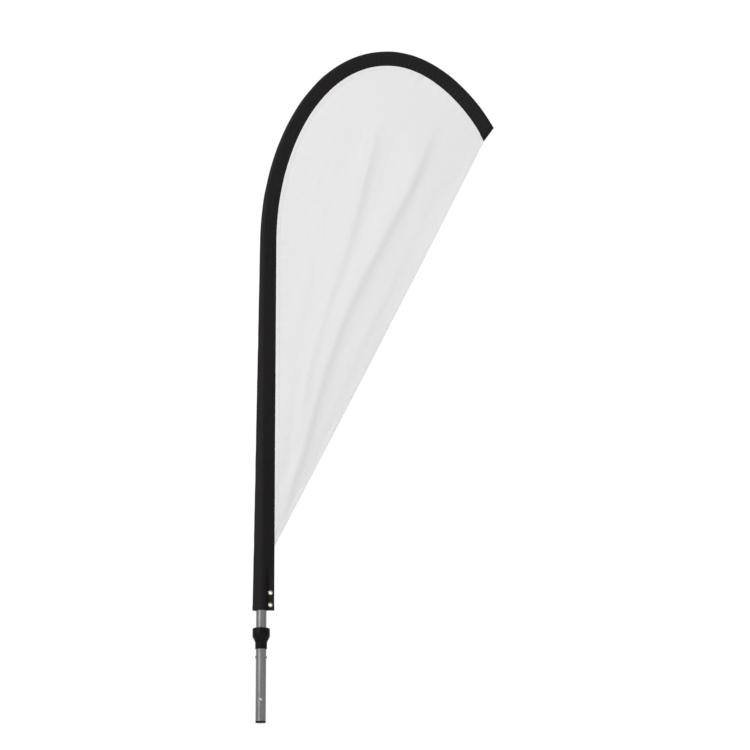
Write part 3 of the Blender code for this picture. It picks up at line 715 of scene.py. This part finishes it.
def lozenges(name, spots):
    """Small thread bumps in one mesh; spots are (centre, along, normal, length, width)."""
    sides = 5
    points = []
    faces = []
    for centre, along, normal, length, width in spots:
        across = np.cross(normal, along)
        first = len(points)
        points.append(centre - along * length / 2 - normal * width * 0.25)
        for share in (-0.25, 0.25):
            middle = centre + along * length * share
            for step in range(sides):
                turn = math.tau * step / sides + math.pi / 10.0
                offset = across * math.cos(turn) + normal * math.sin(turn)
                points.append(middle + offset * width / 2)
        points.append(centre + along * length / 2 - normal * width * 0.25)
        near, far = first + 1, first + 1 + sides
        for step in range(sides):
            after = (step + 1) % sides
            faces.append((first, near + after, near + step))
            faces.append((near + step, near + after, far + after, far + step))
            faces.append((far + sides, far + step, far + after))
    piece = new_piece(name, points, faces)
    face_outwards(piece)
    return piece


def stitch_row(path, normals, pitch, length, width, lift):
    """Evenly spaced stitches along a path with a normal at each of its points."""
    run = run_along(path)
    spots = []
    for place in np.arange(pitch, run[-1] - pitch / 2, pitch):
        centre = along_line(place, run, path)
        along = unit(along_line(place + 0.001, run, path) - centre)
        normal = along_line(place, run, normals)
        normal = unit(normal - along * normal.dot(along))
        spots.append((centre + normal * lift, along, normal, length, width))
    return spots


def surface_tree(piece):
    """A search tree of a piece's faces."""
    return BVHTree.FromObject(piece, bpy.context.evaluated_depsgraph_get())


def meet(tree, x, z, side):
    """Where a line along Y first meets a surface, and its normal there; side -1 is the front."""
    return tree.ray_cast(Vector((x, side * 0.1, z)), Vector((0.0, -side, 0.0)))[:2]


def drop_on(tree, points, side):
    """Points of a line in XZ laid on one side of a surface, with normals that face out of it."""
    found = []
    normals = []
    for x, z in points:
        hit, normal = meet(tree, x, z, side)
        if hit is not None:
            found.append(hit)
            normals.append(normal if normal.y * side > 0.0 else -normal)
    return np.array(found), np.array(normals)


def stitch_lines(tree, lines, pitch, length, width, lift):
    """Stitches along lines in XZ on both sides of a surface."""
    spots = []
    for line in lines:
        for side in (-1.0, 1.0):
            spots += stitch_row(*drop_on(tree, line, side), pitch, length, width, lift)
    return spots


def sleeve_stitch_spots(tree):
    """Topstitching along the sleeve's inner edge, round its bottom hem and its slanted end."""
    distances = np.arange(SLEEVE_START + 0.004, END_DISTANCE - 0.006, 0.004)
    seam = beside_pole(distances, inner_reach(distances) - SEAM_INSET)
    hems = []
    for height in (SLEEVE_Z + 0.0095, SLEEVE_Z + 0.0115):
        places = np.linspace(-OUT_LOW + 0.0012, IN_STRAIGHT - 0.001, 60)
        hems.append([(x, height) for x in places])
    for back in (0.0065, 0.0125):
        reach = np.linspace(-OUT_TIP + 0.001, IN_TIP - 0.001, 40)
        hems.append(beside_pole(END_DISTANCE - back, reach))
    spots = stitch_lines(tree, [seam], 0.0042, 0.0032, 0.0007, 0.0001)
    return spots + stitch_lines(tree, hems, 0.0036, 0.0027, 0.0006, 0.0)


# ---------------- the white sheet

def seam_curve():
    """The sheet's sewn edge in XZ, from its lower corner round to the sleeve's end."""
    low = CORNER.z - BEND_Z
    distances = np.linspace(low, END_DISTANCE, int((END_DISTANCE - low) / SPACING))
    return beside_pole(distances, inner_reach(distances) - TUCK)


def trailing_curve(start, end):
    """The free edge in XZ, from the sleeve's end down to the lower corner, bowed slightly out."""
    run = end - start
    count = int(np.linalg.norm(run) / SPACING)
    share = np.linspace(0.0, 1.0, count)[1:-1, None]
    return start + run * share - right_of(run) * 4.0 * BOW * share * (1.0 - share)


def inside_outline(points, outline, margin):
    """Which points lie inside a closed outline, and further than a margin from it."""
    inside = np.zeros(len(points), bool)
    nearest = np.full(len(points), 1.0)
    for (x0, z0), (x1, z1) in zip(outline, np.roll(outline, -1, axis=0)):
        crosses = (z0 > points[:, 1]) != (z1 > points[:, 1])
        with np.errstate(divide="ignore", invalid="ignore"):
            where = (x1 - x0) * (points[:, 1] - z0) / (z1 - z0) + x0
        inside ^= crosses & (points[:, 0] < where)
        edge = np.array((x1 - x0, z1 - z0))
        share = np.clip((points - (x0, z0)) @ edge / (edge @ edge), 0.0, 1.0)
        gap = np.linalg.norm(points - (x0, z0) - share[:, None] * edge, axis=1)
        nearest = np.minimum(nearest, gap)
    return inside & (nearest > margin)


def sheet_layout():
    """Flat points of the sheet, its triangles, and how many points lie on each edge."""
    seam = seam_curve()
    free = trailing_curve(seam[-1], seam[0])
    outline = np.concatenate([seam, free])
    low = outline.min(axis=0)
    high = outline.max(axis=0)
    rows = []
    for index, z in enumerate(np.arange(low[1], high[1], SPACING * math.sqrt(3.0) / 2.0)):
        shift = (index % 2) * SPACING / 2.0
        rows += [(x, z) for x in np.arange(low[0] + shift, high[0], SPACING)]
    rows = np.array(rows)
    rows = rows[inside_outline(rows, outline, SPACING * 0.55)]
    points = [Vector(point) for point in np.concatenate([outline, rows])]
    corners = list(range(len(outline)))
    loop = list(zip(corners, corners[1:] + corners[:1]))
    keep_inside = 1
    made = geometry.delaunay_2d_cdt(points, loop, [corners], keep_inside, 1e-6)
    flat = np.array([tuple(point) for point in made[0]])
    return flat, [tuple(face) for face in made[2]], len(seam), len(free)


def fold_shape(flat):
    """Starting folds: soft ridges that fan up from the sheet's lower corner.

    Each ridge falls away gently towards the pole and more steeply towards the free edge.
    """
    reach = flat - np.array((CORNER.x, CORNER.z))
    distance = np.linalg.norm(reach, axis=1)
    angle = np.degrees(np.arctan2(reach[:, 0], reach[:, 1]))
    gentle = 2.1            # the flank towards the pole is this much wider
    fullness = 2.1          # how soon a ridge reaches its height
    ridges = (
        # angle low and high on the sheet, where it turns, start and end, height, width
        (14.6, 19.9, 0.45, 1.15, 0.03, 1.32, 0.0056, 0.020),
        (9.6, 13.0, 0.40, 0.95, 0.30, 1.28, 0.0042, 0.019),
        (21.6, 23.2, 0.30, 0.90, 0.12, 1.05, 0.0009, 0.013),
        (4.2, 6.0, 0.30, 0.90, 0.15, 0.85, 0.0022, 0.024),
        (26.0, 30.0, 0.80, 1.10, 0.85, 1.20, 0.0030, 0.022),
    )
    depth = np.zeros(len(flat))
    for low, high, turn_start, turn_end, start, end, height, width in ridges:
        line = low + (high - low) * smooth_step((distance - turn_start) / (turn_end - turn_start))
        aside = distance * np.sin(np.radians(angle - line))
        flank = np.where(aside < 0.0, gentle, 1.0) * np.clip(distance / 0.25, 0.35, 1.0)
        along = np.clip((distance - start) / (end - start), 0.0, 1.0)
        swell = np.clip(np.sin(math.pi * along) * fullness, 0.0, 1.0)
        depth -= height * swell * np.exp(-((aside / (width * flank)) ** 2))
    return depth


def cut_shape(start, flat):
    """The sheet's points as it was cut: spare width in the middle, a little short in height."""
    height = np.clip((flat[:, 1] - CORNER.z) / (1.80 - CORNER.z), 0.0, 1.0)
    spare = SLACK * np.sin(math.pi * np.clip(height * 1.1, 0.0, 1.0)) ** 0.8
    cut = start.copy()
    cut[:, 0] = CORNER.x + (flat[:, 0] - CORNER.x) * (1.0 + spare)
    cut[:, 2] = CORNER.z + (flat[:, 1] - CORNER.z) * (1.0 - TENSION)
    return cut


def simulate(piece, pinned, cut):
    """Let the sheet settle under gravity and its own tension, then keep the settled shape."""
    pins = piece.vertex_groups.new(name="pins")
    pins.add(pinned, 1.0, "REPLACE")
    piece.shape_key_add(name="Basis")
    rest = piece.shape_key_add(name="cut")
    rest.data.foreach_set("co", cut.astype(np.float32).ravel())
    rest.value = 0.0
    cloth = piece.modifiers.new("cloth", "CLOTH")
    settings = cloth.settings
    settings.vertex_group_mass = "pins"
    settings.rest_shape_key = rest
    settings.quality = 10
    settings.mass = 0.0006
    settings.bending_stiffness = 0.25
    for strain, stiffness in (("tension", 30.0), ("compression", 30.0), ("shear", 8.0)):
        setattr(settings, f"{strain}_stiffness", stiffness)
        setattr(settings, f"{strain}_damping", 8.0)
    settings.air_damping = 4.0
    settings.effector_weights.gravity = 0.5
    frames = 45
    cloth.point_cache.frame_end = frames
    scene = bpy.context.scene
    for step in range(1, frames + 1):
        scene.frame_set(step)
    evaluated = piece.evaluated_get(bpy.context.evaluated_depsgraph_get())
    settled = np.zeros(len(piece.data.vertices) * 3, np.float32)
    evaluated.data.vertices.foreach_get("co", settled)
    piece.modifiers.clear()
    piece.shape_key_clear()
    piece.vertex_groups.clear()
    piece.data.vertices.foreach_set("co", settled)
    scene.frame_set(1)


def gather_seam(shape, flat, seam_count):
    """Add the small gathers that sewing to the sleeve leaves beside the seam."""
    seam = flat[:seam_count]
    run = run_along(seam)
    for index, spot in enumerate(flat):
        gaps = np.linalg.norm(seam - spot, axis=1)
        nearest = int(gaps.argmin())
        gap = float(gaps[nearest])
        if gap > 0.09:
            continue
        place = float(run[nearest])
        waver = wander(place, 0.0, 0.0, 11.0, 9.0)
        ripple = math.sin(math.tau * place / 0.031 + 4.0 * waver) * (0.55 + 0.45 * waver)
        shape[index, 1] += 0.0013 * ripple * min(gap / 0.010, 1.0) * math.exp(-gap / 0.024)


def make_sheet(surface):
    """The sheet, pinned along its seam, with spare width that gathers into tension folds."""
    flat, faces, seam_count, free_count = sheet_layout()
    start = np.stack([flat[:, 0], fold_shape(flat), flat[:, 1]], axis=1)
    start[:seam_count, 1] = 0.0
    sheet = new_piece("flag_sheet", start, faces)
    simulate(sheet, list(range(seam_count)), cut_shape(start, flat))
    shape = np.array([tuple(vertex.co) for vertex in sheet.data.vertices])
    gather_seam(shape, flat, seam_count)
    sheet.data.vertices.foreach_set("co", shape.astype(np.float32).ravel())
    sheet.data.update()
    edge = np.concatenate([shape[seam_count - 1:seam_count + free_count], shape[:1]])
    corners = flat[np.array(faces)]
    doubled = np.cross(corners[:, 1] - corners[:, 0], corners[:, 2] - corners[:, 0])
    tree = surface_tree(sheet)
    thick = sheet.modifiers.new("thickness", "SOLIDIFY")
    thick.thickness = SHEET_CLOTH
    thick.offset = 0.0
    apply_modifiers(sheet)
    finish_piece(sheet, "flag", surface, ["flag_panel"], 60.0)
    return sheet, edge[:, [0, 2]], tree, float(np.abs(doubled).sum() / 2.0)


def band(name, outer, inner, tree, rise, columns=4):
    """A flat strip of cloth on both faces of the sheet between two lines in XZ."""
    shares = np.linspace(0.0, 1.0, columns + 1)
    around = [(-1.0, share) for share in shares] + [(1.0, share) for share in shares[::-1]]
    points = []
    for start, end in zip(outer, inner):
        for side, share in around:
            x, z = start + (end - start) * share
            hit = meet(tree, x, z, side)[0] or tree.find_nearest(Vector((x, 0.0, z)))[0]
            lift = rise * min(1.0, (1.0 - share) * 8.0 + 0.35)
            points.append((x, hit.y + side * lift, z))
    faces = skin_faces(len(outer), len(around))
    for row in (0, len(outer) - 1):
        first = row * len(around)
        last = first + len(around) - 1
        for step in range(columns):
            faces.append((first + step, first + step + 1, last - step - 1, last - step))
    piece = new_piece(name, points, faces)
    face_outwards(piece)
    return piece


def make_strip(name, line, start, width, rise, seams, tree, surface):
    """A doubled strip to the right of a line in XZ, and its seams at shares of its width."""
    right = right_of(np.gradient(line, axis=0))
    strip = band(name, line + right * start, line + right * width[:, None], tree, rise)
    finish_piece(strip, "flag", surface, (), 50.0)
    return strip, [line + right * (width * share)[:, None] for share in seams]


def make_hem(line, tree, surface):
    """The free edge's folded hem, on both faces, narrowed at its two ends."""
    ramp = np.linspace(0.0, 24.0, len(line)) + 0.12
    width = HEM_WIDTH * np.minimum(1.0, np.minimum(ramp, ramp[::-1]))
    seams = (0.22, 0.80)
    return make_strip("trailing_hem", line, -0.0002, width, HEM_RISE, seams, tree, surface)


def make_seam_band(tree, surface):
    """The doubled cloth beside the sleeve where the sheet is sewn on."""
    line = seam_curve()[3:-3]
    count = len(line)
    share = np.minimum(1.0, np.linspace(12.0, 0.0, count) + 0.25)
    width = BAND_WIDTH * np.minimum(share, np.linspace(0.0, 40.0, count) + 0.15)
    return make_strip("seam_band", line, 0.0004, width, BAND_RISE, (0.82,), tree, surface)


# ---------------- turned and moulded pieces

def make_tube(node, body, surface):
    """An aluminium tube with chamfered ends."""
    low, high = (corner.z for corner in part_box(node))
    bore = TUBE_R - TUBE_WALL
    chamfer = 0.0004
    bore_chamfer = 0.0003
    tube = turned(f"{node}_fine", [
        (bore, low + bore_chamfer), (bore + bore_chamfer, low), (TUBE_R - chamfer, low),
        *((TUBE_R, height) for height in np.linspace(low + chamfer, high - chamfer, 13)),
        (TUBE_R - chamfer, high), (bore + bore_chamfer, high), (bore, high - bore_chamfer),
    ])
    if node == "mount_tube":
        cut_hole(tube, (0.0, 0.0, BUTTON_Z), 0.0044, 0.008, 0.018, 48)
    finish_piece(tube, body, surface, [node], 30.0)


def make_end_plug(surface):
    """The plug in the mount tube's lower end, with its rounded flange."""
    flange = TUBE_LOW.z - GAP
    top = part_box("tube_end_plug")[1].z
    edge = 0.001
    hollow = BORE_FIT - 0.002
    plug = turned("end_plug_fine", [
        (0.0, 0.0), *arc((TUBE_R - edge, edge), edge, -90.0, 0.0),
        (TUBE_R, flange), (BORE_FIT, flange), (BORE_FIT, top - edge), (BORE_FIT - edge, top),
        (hollow, top), (hollow, flange), (0.0, flange),
    ])
    finish_piece(plug, "mount", surface, ["tube_end_plug"], 35.0)


def make_swivel(plastic, rubber):
    """The swivel body with its collar, cone, rounded cup and two fine grooves, and its seal."""
    bore = 0.0075
    neck = 0.016
    collar = TUBE_HIGH.z + GAP
    neck_top = HEAD_HIGH.z - 0.036
    cone_top = HEAD_HIGH.z - 0.024
    cup = SEAL_HIGH.y + GAP
    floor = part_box("thrust_washer")[0].z - 0.0026
    edge = 0.0012
    shoulder = 0.0032
    mouth = 0.0010
    replace_turned("swivel_body", "mount", plastic, [
        (bore, HEAD_LOW.z), (BORE_FIT - 0.001, HEAD_LOW.z), (BORE_FIT, HEAD_LOW.z + 0.001),
        (BORE_FIT, collar), *arc((neck - edge, collar + edge), edge, -90.0, 0.0),
        (neck, collar + 0.0060), *arc((neck, collar + 0.0068), 0.0005, -90.0, -270.0),
        (neck, neck_top - 0.004), (neck + 0.0002, neck_top - 0.002), (neck + 0.0008, neck_top),
        (HEAD_R - 0.0014, cone_top - 0.0010), (HEAD_R - 0.0004, cone_top - 0.0002),
        (HEAD_R, cone_top + 0.0010), (HEAD_R, cone_top + 0.0085),
        *arc((HEAD_R, cone_top + 0.0095), 0.0006, -90.0, -270.0), (HEAD_R, cone_top + 0.0105),
        *arc((HEAD_R - shoulder, HEAD_HIGH.z - shoulder), shoulder, 0.0, 90.0, 10),
        *arc((cup + mouth, HEAD_HIGH.z - mouth), mouth, 90.0, 180.0),
        (cup, floor), (bore, floor),
    ], segments=128)
    inner = TUBE_R + 0.0012
    outer = cup - GAP
    top = SEAL_HIGH.z
    replace_turned("dust_seal", "mount", rubber, [
        (inner, SEAL_LOW.z), (outer, SEAL_LOW.z), (outer, top - 0.0004), (outer - 0.0004, top),
        (inner, top), (TUBE_R + 0.0005, top - 0.0008), (inner, top - 0.0020),
    ], 30.0)


def make_button(surface):
    """The snap button's domed pin and the flange that keeps it in the tube."""
    seat = 0.0100
    flange = 0.0110
    pin = 0.0040
    dome = 0.0022
    tip = -BUTTON_LOW.y
    replace_turned("snap_button", "button", surface, [
        (0.0, seat), (0.0052, seat), (0.0052, flange), (pin, flange),
        *arc((pin - dome, tip - dome), dome, 0.0, 90.0, 10), (0.0, tip),
    ], segments=64, place=facing(FRONT, (0.0, 0.0, BUTTON_Z)))


def rounded(line, times=2):
    """A line with its corners cut smooth."""
    line = np.array(line)
    for _ in range(times):
        near = line[:-1] * 0.75 + line[1:] * 0.25
        far = line[:-1] * 0.25 + line[1:] * 0.75
        middle = np.stack([near, far], axis=1).reshape(-1, line.shape[1])
        line = np.concatenate([line[:1], middle, line[-1:]])
    return line


def make_spring(surface):
    """The V of spring strip behind the button, built at rest; on the real part its near leg gives
    way as the button goes in.
    """
    low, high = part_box("snap_spring")
    thick = 0.0006
    bend = 0.0035
    near = low.y + thick / 2
    far = high.y - thick / 2
    top = high.z - bend - thick / 2
    knee = low.z + 0.022    # where the legs turn in to the bend
    middle = (low.z + knee) / 2
    line = [(near, low.z), (near, middle), (near, knee)]
    for angle in np.linspace(math.pi, 0.0, 9):
        line.append((bend * math.cos(angle), top + bend * math.sin(angle)))
    line = rounded(line + [(far, knee), (far, middle), (far, low.z)])
    side = right_of(np.gradient(line, axis=0)) * thick / 2
    points = []
    for place, offset in zip(line, side):
        for x, sign in ((low.x, 1.0), (high.x, 1.0), (high.x, -1.0), (low.x, -1.0)):
            points.append((x, *(place + offset * sign)))
    ends = [(0, 1, 2, 3), tuple(range(len(points) - 4, len(points)))]
    spring = new_piece("snap_spring_fine", points, skin_faces(len(line), 4) + ends)
    face_outwards(spring)
    shade(spring, surface, 40.0)
    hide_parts("snap_spring")
    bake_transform(spring)


def make_rivets(surface):
    """The two blind rivets' domed heads with their broken stems."""
    shank = 0.0020
    tail = 0.0088
    head = TUBE_R + GAP
    for node, outward in (("rivet_left", -1.0), ("rivet_right", 1.0)):
        replace_turned(node, "mount", surface, [
            (0.0, tail), (shank, tail), (shank, head), (0.0040, head),
            *arc((0.0022, head - 0.0004), 0.0018, 15.0, 80.0),
            (0.0013, head + 0.0014), (0.0011, head + 0.0010), (0.0, head + 0.0011),
        ], segments=48, place=facing((outward, 0.0, 0.0), (0.0, 0.0, middle_of(node)[2])))


def make_eyelets(surface):
    """Rolled eyelets through the web with their backing washers behind."""
    face = 0.00135          # of the web, from its middle
    bore = EYELET_BORE_R
    for level in EYELETS:
        low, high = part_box(f"eyelet_{level}")
        flange = (high.x - low.x) / 2
        roll = (flange - bore) / 2
        barrel = [
            (bore, -face - 0.0010), (bore + 0.0002, -face - 0.0014),
            (bore + 0.0005, -face - 0.0014), (bore + 0.0005, face), (flange - 0.0003, face),
        ]
        for angle in np.linspace(0.0, math.pi, 9):
            crown = face + 0.0002 + 0.0012 * math.sin(angle)
            barrel.append((bore + roll + roll * math.cos(angle), crown))
        washer = [
            (bore + 0.0008, -face), (flange - 0.0002, -face), (flange, -face - 0.0003),
            (flange - 0.0006, -face - 0.0008), (bore + 0.0016, -face - 0.0010),
            (bore + 0.0008, -face - 0.0007),
        ]
        place = facing(FRONT, middle_of(f"eyelet_{level}"))
        for node, profile in ((f"eyelet_{level}", barrel), (f"eyelet_washer_{level}", washer)):
            replace_turned(node, "flag", surface, profile, 40.0, 64, place)


# ---------------- stage

def make_world():
    """A studio with a white wall behind the flag, a dimmer room in front and a bright ceiling."""
    world = bpy.data.worlds.new("studio")
    bpy.context.scene.world = world
    made = Nodes(world)
    towards = made.add("ShaderNodeTexCoord", "Generated")
    back = made.add("ShaderNodeSeparateXYZ", "Y", _0=towards)
    up = made.add("ShaderNodeSeparateXYZ", "Z", _0=towards)
    wall = made.span(back, 0.15, 0.70, 0.55, 1.02, "SMOOTHSTEP")
    ceiling = made.span(up, 0.45, 0.85, 0.0, 0.34, "SMOOTHSTEP")
    background = made.tree.nodes["Background"]
    made.feed(background, "Color", (1.0, 1.0, 1.0, 1.0))
    made.feed(background, "Strength", made.maths("ADD", wall, ceiling))


def stand(data, place, target):
    """Stand a lamp or a camera at a place and turn it to a target."""
    made = bpy.data.objects.new(data.name, data)
    bpy.context.collection.objects.link(made)
    made.location = place
    made.rotation_euler = (target - Vector(place)).to_track_quat("-Z", "Y").to_euler()
    return made


def make_stage():
    """A pale floor at the ground below the roof and soft lamps."""
    bpy.context.scene.view_settings.view_transform = "Standard"
    ground = -3.28
    reach = 60.0
    corners = ((-reach, -reach), (reach, -reach), (reach, reach), (-reach, reach))
    floor = new_piece("floor", [(x, y, ground) for x, y in corners], [(0, 1, 2, 3)])
    plain = Surface("plain_floor", 0.9, specular=0.1)
    plain.colour(plain.mix(plain.cloud(1.2, 2.0), grey(0.69), grey(0.71)))
    floor.data.materials.append(plain.material)
    lamps = (
        # name, place, size, power
        ("key", (-4.6, -5.2, 4.2), 1.8, 450.0),
        ("fill", (4.2, -4.4, 0.4), 3.0, 10.0),
        ("rim", (2.8, 4.2, 3.6), 1.6, 125.0),
    )
    for name, place, size, power in lamps:
        lamp = bpy.data.lights.new(name, "AREA")
        lamp.size = size
        lamp.energy = power
        stand(lamp, place, Vector((0.25, 0.0, 1.0)))


def make_camera():
    """The eye is low in front, about two metres above the floor, and looks up at the flag."""
    eye = Vector((-0.02, -9.7, -1.24))
    middle = (CAD_BOX[0] + CAD_BOX[1]) / 2
    target = Vector((middle.x, 0.0, middle.z + 0.015))
    view_height = (CAD_BOX[1].z - CAD_BOX[0].z) * 1.09
    lens = bpy.data.cameras.new("camera")
    lens.sensor_width = 36.0
    lens.lens = lens.sensor_width * (target - eye).length / view_height
    lens.clip_end = 400.0
    bpy.context.scene.camera = stand(lens, eye, target)


# ---------------- assembly

def add_sleeve(cloth, thread):
    """The sleeve and its stitches."""
    sleeve, sleeve_size, sleeve_area = make_sleeve(cloth)
    sleeve_stitches = lozenges("sleeve_stitches", sleeve_stitch_spots(surface_tree(sleeve)))
    finish_piece(sleeve_stitches, "flag", thread)
    return sleeve


def add_sheet(cloth, thread):
    """The sheet, its hem, seam band and stitches."""
    sheet, edge, tree, cut_area = make_sheet(cloth)
    hem, hem_lines = make_hem(edge, tree, cloth)
    seam_band, seam_lines = make_seam_band(tree, cloth)
    spots = stitch_lines(tree, hem_lines, 0.0040, 0.0030, 0.0006, HEM_RISE)
    spots += stitch_lines(tree, seam_lines, 0.0040, 0.0030, 0.0006, BAND_RISE)
    sheet_stitches = lozenges("sheet_stitches", spots)
    finish_piece(sheet_stitches, "flag", thread)


def dress_nodes(surface, *nodes):
    """Give the frame's own nodes that stay their material."""
    for node in nodes:
        shade(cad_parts[node], surface, 35.0)


def main():
    make_world()
    make_stage()
    make_camera()
    aluminium = tube_material()
    nylon = moulded_material("black_nylon", 0.0035, 0.36, 0.50, 2600.0)
    rubber = moulded_material("black_rubber", 0.012, 0.62, 0.78, 1500.0)
    plated = plated_material()

    sleeve = add_sleeve(sleeve_cloth_material(), thread_material("black_thread", 0.022))
    add_sheet(flag_cloth_material(), thread_material("white_thread", 0.74))
    make_tube("mount_tube", "mount", aluminium)
    make_tube("base_tube", "flag", aluminium)
    make_end_plug(nylon)
    make_swivel(nylon, rubber)
    make_button(plated)
    make_spring(plated)
    make_rivets(aluminium)
    make_eyelets(brass_material())
    dress_nodes(plated, "swivel_bolt", "thrust_washer", "bolt_washer", "lock_nut")
    dress_nodes(acetal_material(), "lower_bush", "upper_bush")
    dress_nodes(nylon, "pole_foot", "lower_ferrule", "upper_ferrule", "tip_cap")
    dress_nodes(fibreglass_material(), "middle_tube", "tip_rod")


main()
